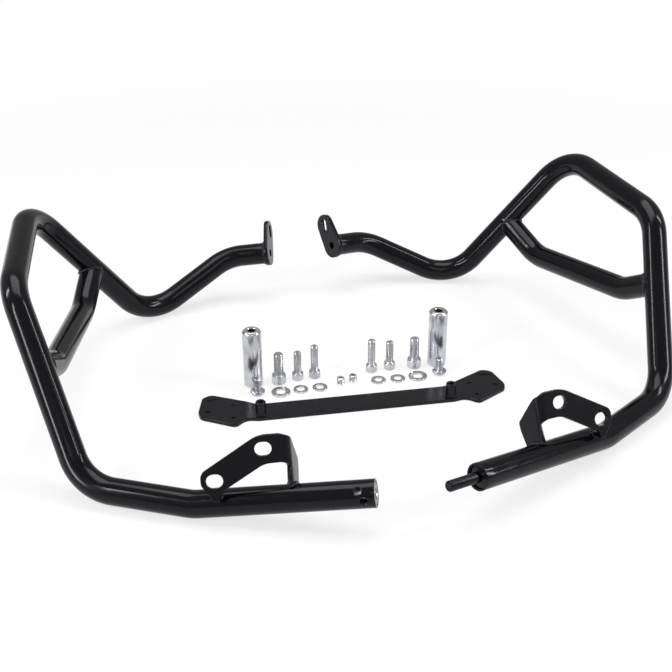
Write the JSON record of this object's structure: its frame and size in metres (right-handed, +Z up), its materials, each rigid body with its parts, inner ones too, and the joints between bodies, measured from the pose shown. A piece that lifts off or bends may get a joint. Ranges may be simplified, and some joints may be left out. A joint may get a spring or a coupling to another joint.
{
  "type": "motorcycle crash bars",
  "caption": "Welded black tube crash bars for a motorcycle, each with a cross tube, upper tab and lower bracket, laid out with their brace, spacers and fixings.",
  "frame": {"origin": "on the floor under the middle of the laid out set", "axes": "+X from the left bar to the right bar, +Y away from the viewer, +Z up from the floor"},
  "size_m": [0.6846, 0.522, 0.1804],
  "materials": {
    "gloss_black": "gloss powder coat",
    "satin_black": "satin powder coat",
    "zinc": "bright zinc plate"
  },
  "bodies": {
    "root": {"right_main_tube": "gloss_black", "right_cross_tube": "gloss_black", "right_upper_tab": "satin_black", "right_lower_bracket": "satin_black", "right_end_spigot": "satin_black", "left_main_tube": "gloss_black", "left_cross_tube": "gloss_black", "left_upper_tab": "satin_black", "left_lower_bracket": "satin_black", "left_end_bush": "zinc", "brace_plate": "satin_black", "brace_bosses": "satin_black", "left_spacer": "zinc", "right_spacer": "zinc", "large_cap_screws": "zinc", "short_cap_screws": "zinc", "long_cap_screws": "zinc", "button_screws": "zinc", "grub_screws": "zinc", "large_washers": "zinc", "small_washers": "zinc"}
  },
  "joints": []
}
